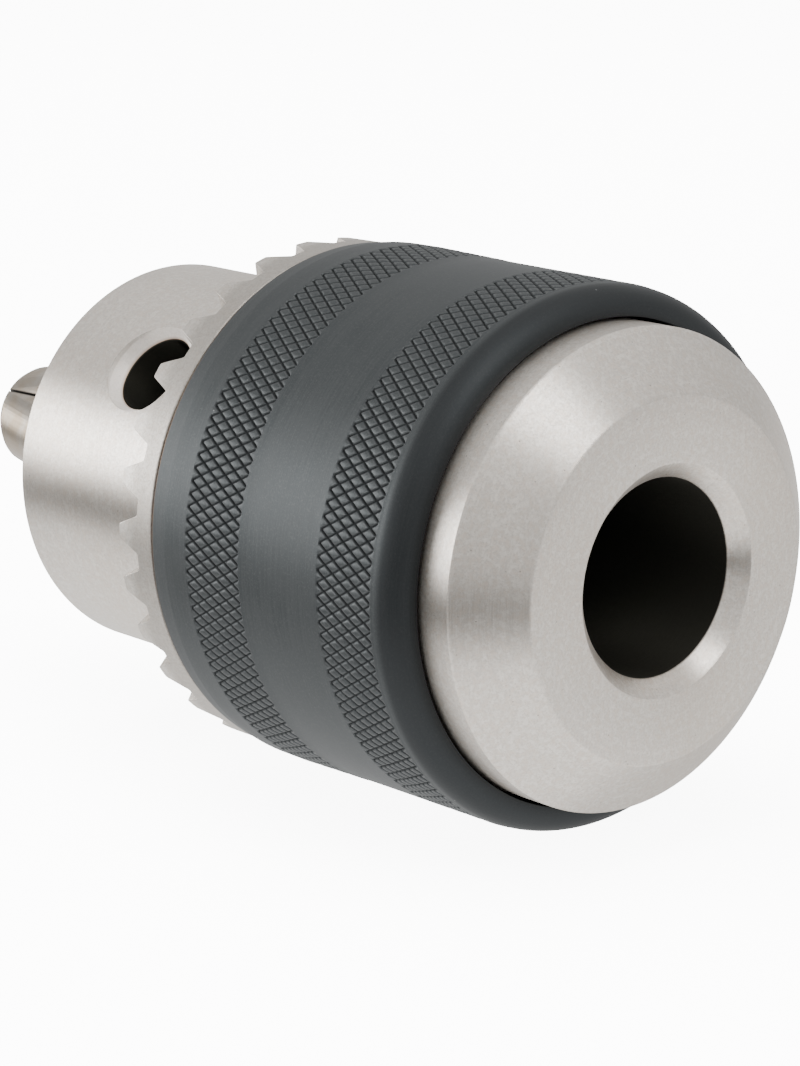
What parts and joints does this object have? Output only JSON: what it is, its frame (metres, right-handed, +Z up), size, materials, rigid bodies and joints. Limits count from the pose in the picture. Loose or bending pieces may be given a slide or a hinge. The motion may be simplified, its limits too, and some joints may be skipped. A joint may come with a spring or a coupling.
{
  "type": "drill chuck",
  "caption": "Keyed three-jaw drill chuck with a short taper socket, knurled sleeve, toothed ring and self-centring jaws closed together.",
  "frame": {"origin": "centre of the rear face, at the mouth of the taper socket", "axes": "+X along the chuck axis out of the taper socket, so the jaws point along -X; +Z up, lying as it is usually pictured"},
  "size_m": [0.0828, 0.0442, 0.0442],
  "materials": {
    "body_steel": "fine-turned bare steel",
    "blackened_steel": "blackened (blued) steel, satin, diamond knurled in two bands",
    "gear_steel": "machined bare steel",
    "nut_steel": "oiled machined steel",
    "race_steel": "hardened and ground",
    "cage_brass": "stamped brass",
    "ball_steel": "polished bearing steel",
    "jaw_steel": "hardened and ground"
  },
  "bodies": {
    "body": {"chuck_body": "body_steel", "thrust_race_rear": "race_steel"},
    "sleeve": {"knurled_sleeve": "blackened_steel", "toothed_ring": "gear_steel", "split_nut_upper": "nut_steel", "split_nut_lower": "nut_steel", "thrust_race_front": "race_steel"},
    "bearing": {"ball_cage": "cage_brass", "bearing_ball_01": "ball_steel", "bearing_ball_02": "ball_steel", "bearing_ball_03": "ball_steel", "bearing_ball_04": "ball_steel", "bearing_ball_05": "ball_steel", "bearing_ball_06": "ball_steel", "bearing_ball_07": "ball_steel", "bearing_ball_08": "ball_steel", "bearing_ball_09": "ball_steel", "bearing_ball_10": "ball_steel", "bearing_ball_11": "ball_steel", "bearing_ball_12": "ball_steel", "bearing_ball_13": "ball_steel", "bearing_ball_14": "ball_steel", "bearing_ball_15": "ball_steel", "bearing_ball_16": "ball_steel", "bearing_ball_17": "ball_steel", "bearing_ball_18": "ball_steel", "bearing_ball_19": "ball_steel", "bearing_ball_20": "ball_steel"},
    "jaw_1": {"jaw_1": "jaw_steel"},
    "jaw_2": {"jaw_2": "jaw_steel"},
    "jaw_3": {"jaw_3": "jaw_steel"}
  },
  "joints": [
    {"name": "sleeve_turn", "type": "hinge", "parent": "body", "child": "sleeve", "pos_m": [0, 0, 0], "axis": [-1, 0, 0], "range_deg": [0, 4320]},
    {"name": "cage_turn", "type": "hinge", "parent": "body", "child": "bearing", "pos_m": [0, 0, 0], "axis": [-1, 0, 0], "range_deg": [0, 2160]},
    {"name": "jaw_1_slide", "type": "slide", "parent": "body", "child": "jaw_1", "axis": [0.9781, -0.1977, -0.0642], "range_m": [0, 0.02405]},
    {"name": "jaw_2_slide", "type": "slide", "parent": "body", "child": "jaw_2", "axis": [0.9781, 0.1545, -0.1391], "range_m": [0, 0.02405]},
    {"name": "jaw_3_slide", "type": "slide", "parent": "body", "child": "jaw_3", "axis": [0.9781, 0.0432, 0.2034], "range_m": [0, 0.02405]}
  ],
  "couplings": [
    {"joint": "cage_turn", "follows": "sleeve_turn", "ratio": 0.5},
    {"joint": "jaw_1_slide", "follows": "sleeve_turn", "m_per_rad": 0.0003183},
    {"joint": "jaw_2_slide", "follows": "sleeve_turn", "m_per_rad": 0.0003183},
    {"joint": "jaw_3_slide", "follows": "sleeve_turn", "m_per_rad": 0.0003183}
  ]
}
